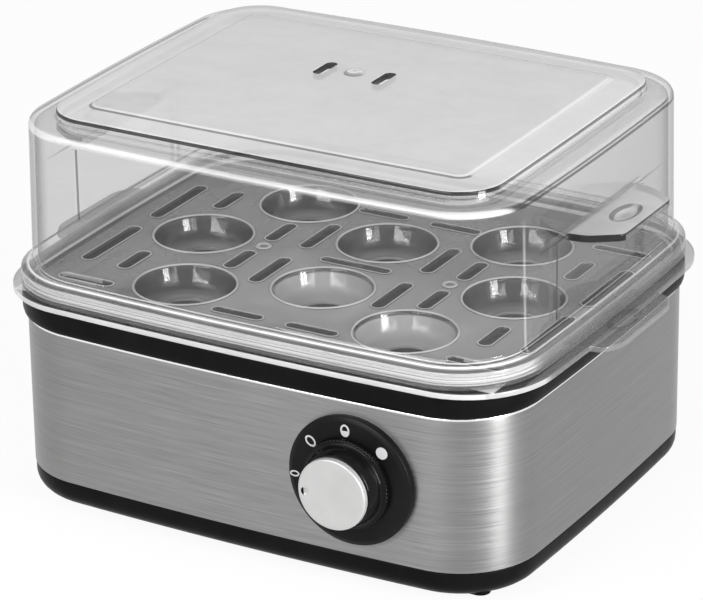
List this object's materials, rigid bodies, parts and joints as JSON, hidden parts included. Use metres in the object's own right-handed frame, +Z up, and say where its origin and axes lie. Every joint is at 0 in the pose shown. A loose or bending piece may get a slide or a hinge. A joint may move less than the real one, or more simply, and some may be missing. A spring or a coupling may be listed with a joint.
{
  "type": "egg boiler",
  "caption": "Electric egg boiler: a steel-clad base with a front dial and heated water pan, a lift-out egg tray and a clear lid with side tabs.",
  "frame": {"origin": "middle of the whole outline in plan, knob included, at the level of the foot undersides", "axes": "+X to the right along the front, +Y from the dial side to the cord side, +Z up"},
  "size_m": [0.2612, 0.2082, 0.1691],
  "materials": {
    "black_plastic": "satin black moulding",
    "gloss_black": "glossy black moulding",
    "brushed_steel": "stainless sheet brushed along its length",
    "pan_coating": "dark non-stick coating on aluminium",
    "grey_silicone": "grey silicone",
    "zinc_steel": "zinc plated",
    "black_rubber": "matt black rubber",
    "cast_aluminium": "as cast",
    "brown_phenolic": "moulded phenolic",
    "cream_ceramic": "unglazed ceramic",
    "wire_brown": "wire insulation",
    "wire_blue": "wire insulation",
    "wire_green": "wire insulation",
    "satin_cap": "satin",
    "smoky_tray": "smoky see-through plastic",
    "clear_lid": "clear plastic"
  },
  "bodies": {
    "housing": {"base_pan": "black_plastic", "steel_shell": "brushed_steel", "top_rim": "black_plastic", "water_pan": "pan_coating", "pan_gasket": "grey_silicone", "base_screw_front_left": "zinc_steel", "base_screw_front_right": "zinc_steel", "base_screw_back_left": "zinc_steel", "base_screw_back_right": "zinc_steel", "pan_clip_left": "zinc_steel", "pan_clip_screw_left": "zinc_steel", "pan_clip_right": "zinc_steel", "pan_clip_screw_right": "zinc_steel", "pan_clip_front": "zinc_steel", "pan_clip_screw_front": "zinc_steel", "pan_clip_back": "zinc_steel", "pan_clip_screw_back": "zinc_steel", "foot_front_left": "black_rubber", "foot_front_right": "black_rubber", "foot_back_left": "black_rubber", "foot_back_right": "black_rubber", "heat_spreader": "cast_aluminium", "heating_element": "cast_aluminium", "cutout_strap": "zinc_steel", "thermal_cutout": "brown_phenolic", "left_stud_nut": "zinc_steel", "right_stud_nut": "zinc_steel", "earth_stud_nut": "zinc_steel", "thermal_fuse": "zinc_steel", "control_body": "brown_phenolic", "bush_nut": "zinc_steel", "dial_plate": "black_plastic", "cord_bushing": "black_rubber", "terminal_block": "cream_ceramic", "terminal_block_screw": "zinc_steel", "live_wire": "wire_brown", "switched_live_wire": "wire_brown", "element_wire": "wire_blue", "cutout_wire": "wire_blue", "neutral_wire": "wire_blue", "earth_wire": "wire_green"},
    "knob": {"knob_shaft": "zinc_steel", "knob_grip": "gloss_black", "knob_cap": "satin_cap"},
    "tray": {"egg_tray": "smoky_tray"},
    "lid": {"lid": "clear_lid"}
  },
  "joints": [
    {"name": "knob_turn", "type": "hinge", "parent": "housing", "child": "knob", "pos_m": [0.0514, -0.095, 0.0479], "axis": [0, 1, 0], "range_deg": [0, 138]},
    {"name": "tray_lift", "type": "slide", "parent": "housing", "child": "tray", "axis": [0, 0, 1], "range_m": [0, 0.08]},
    {"name": "lid_lift", "type": "slide", "parent": "tray", "child": "lid", "axis": [0, 0, 1], "range_m": [0, 0.12]}
  ]
}
